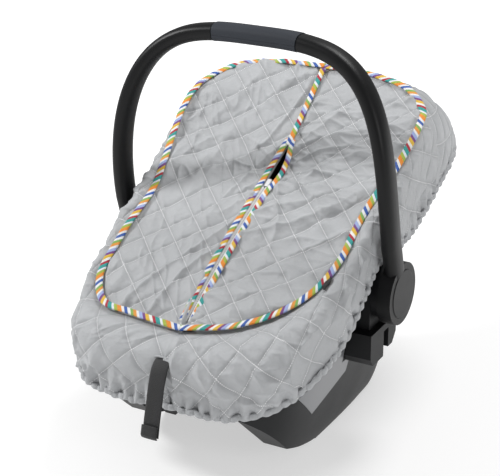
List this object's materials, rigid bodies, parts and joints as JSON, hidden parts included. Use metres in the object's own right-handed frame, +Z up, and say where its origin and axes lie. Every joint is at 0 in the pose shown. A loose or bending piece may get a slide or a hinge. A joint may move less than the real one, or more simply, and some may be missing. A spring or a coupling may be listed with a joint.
{
  "type": "infant car seat",
  "caption": "Rear-facing infant carrier with a swinging carrying handle, a padded bucket, a harness, and a fitted quilted cover with a zipped top panel.",
  "frame": {"origin": "on the flat underside, midway between the two handle pivots seen from above", "axes": "+Z up; +Y towards the head end; -Y the foot end; +X the right-hand side seen from the foot end, along the handle pivots"},
  "size_m": [0.4416, 0.6574, 0.5716],
  "materials": {
    "shell_plastic": "satin moulded polypropylene",
    "latch_metal": "sintered steel, blacked",
    "button_grey": "satin",
    "buckle_plastic": "satin",
    "webbing": "woven polyester webbing",
    "steel": "zinc plated steel",
    "button_red": "satin",
    "bow_plastic": "moulded bow",
    "canopy_fabric": "woven canopy fabric",
    "cover_cloth": "quilted cotton, white diamond stitching",
    "striped_binding": "bias-cut striped cotton tape",
    "foam": "expanded polypropylene foam",
    "handle_plastic": "satin moulded nylon",
    "grip_rubber": "soft overmoulded grip",
    "insert_fabric": "brushed knit",
    "label_film": "bare printed-film blank",
    "seat_fabric": "knitted seat fabric over foam",
    "red_fabric": "knitted seat fabric",
    "tag_cloth": "woven tag, bare",
    "zip_metal": "moulded acetal",
    "zip_tape": "woven polyester tape with moulded teeth"
  },
  "bodies": {
    "seat": {"adapter_bracket_left": "shell_plastic", "adapter_bracket_right": "shell_plastic", "adjuster_frame": "buckle_plastic", "adjuster_strap": "webbing", "base_bars": "steel", "buckle": "buckle_plastic", "buckle_tongue_left": "steel", "buckle_tongue_right": "steel", "canopy_cloth": "canopy_fabric", "clip_half_left": "buckle_plastic", "clip_half_right": "buckle_plastic", "cover_hood": "cover_cloth", "cover_skirt_left": "cover_cloth", "cover_skirt_right": "cover_cloth", "crotch_strap": "webbing", "flap_left": "cover_cloth", "flap_right": "cover_cloth", "flap_seam_binding": "striped_binding", "foam_liner": "foam", "head_pad": "insert_fabric", "hem_casing_left": "cover_cloth", "hem_casing_right": "cover_cloth", "hem_tie": "webbing", "hub_housing_left": "shell_plastic", "hub_housing_right": "shell_plastic", "infant_insert": "insert_fabric", "label": "label_film", "lock_gear_left": "steel", "lock_gear_right": "steel", "panel_binding_left": "striped_binding", "panel_binding_right": "striped_binding", "pivot_pin_left": "steel", "pivot_pin_right": "steel", "release_housing": "shell_plastic", "seat_pad": "seat_fabric", "shell": "shell_plastic", "shoulder_strap_left": "webbing", "shoulder_strap_right": "webbing", "side_cloth_left": "red_fabric", "side_cloth_right": "red_fabric", "side_tag": "tag_cloth", "zip_binding_left": "striped_binding", "zip_binding_right": "striped_binding", "zip_tape_left": "zip_tape", "zip_tape_right": "zip_tape"},
    "handle": {"grip_core": "handle_plastic", "grip_sleeve_lower": "grip_rubber", "grip_sleeve_upper": "grip_rubber", "handle_arm_left": "handle_plastic", "handle_arm_right": "handle_plastic"},
    "hub_button_left": {"hub_button_left": "handle_plastic"},
    "hub_button_right": {"hub_button_right": "handle_plastic"},
    "release": {"release_bar": "button_grey"},
    "pawl_left": {"adapter_pawl_left": "latch_metal"},
    "pawl_right": {"adapter_pawl_right": "latch_metal"},
    "canopy": {"canopy_bow": "bow_plastic"},
    "buckle_button": {"buckle_button": "button_red"},
    "clip_button": {"clip_button": "button_grey"},
    "adjuster_button": {"adjuster_button": "button_grey"},
    "zip_slider": {"zip_slider": "zip_metal"}
  },
  "joints": [
    {"name": "handle_swing", "type": "hinge", "parent": "seat", "child": "handle", "pos_m": [0, 0, 0.224], "axis": [1, 0, 0], "range_deg": [-20, 100]},
    {"name": "hub_press_left", "type": "slide", "parent": "handle", "child": "hub_button_left", "axis": [1, 0, 0], "range_m": [0, 0.003], "stiffness_N_per_m": 1500},
    {"name": "hub_press_right", "type": "slide", "parent": "handle", "child": "hub_button_right", "axis": [-1, 0, 0], "range_m": [0, 0.003], "stiffness_N_per_m": 1500},
    {"name": "release_pull", "type": "slide", "parent": "seat", "child": "release", "axis": [0, 0, 1], "range_m": [0, 0.01], "stiffness_N_per_m": 1200},
    {"name": "pawl_draw_left", "type": "slide", "parent": "seat", "child": "pawl_left", "axis": [0, -1, 0], "range_m": [0, 0.005], "stiffness_N_per_m": 800},
    {"name": "pawl_draw_right", "type": "slide", "parent": "seat", "child": "pawl_right", "axis": [0, -1, 0], "range_m": [0, 0.005], "stiffness_N_per_m": 800},
    {"name": "canopy_fold", "type": "hinge", "parent": "seat", "child": "canopy", "pos_m": [0, 0.02, 0.29], "axis": [1, 0, 0], "range_deg": [-12, 0], "deforming": ["canopy_cloth"]},
    {"name": "buckle_press", "type": "slide", "parent": "seat", "child": "buckle_button", "axis": [0, 0, -1], "range_m": [0, 0.003], "stiffness_N_per_m": 1500},
    {"name": "clip_press", "type": "slide", "parent": "seat", "child": "clip_button", "axis": [0, 0.7668, -0.6419], "range_m": [0, 0.0015], "stiffness_N_per_m": 1500},
    {"name": "adjuster_press", "type": "slide", "parent": "seat", "child": "adjuster_button", "axis": [0, -0.5446, -0.8387], "range_m": [0, 0.003], "stiffness_N_per_m": 1500},
    {"name": "zip_run", "type": "slide", "parent": "seat", "child": "zip_slider", "axis": [0, 0.8829, 0.4695], "range_m": [0, 0.036]}
  ],
  "couplings": [
    {"joint": "pawl_draw_left", "follows": "release_pull", "ratio": 0.5},
    {"joint": "pawl_draw_right", "follows": "release_pull", "ratio": 0.5}
  ]
}
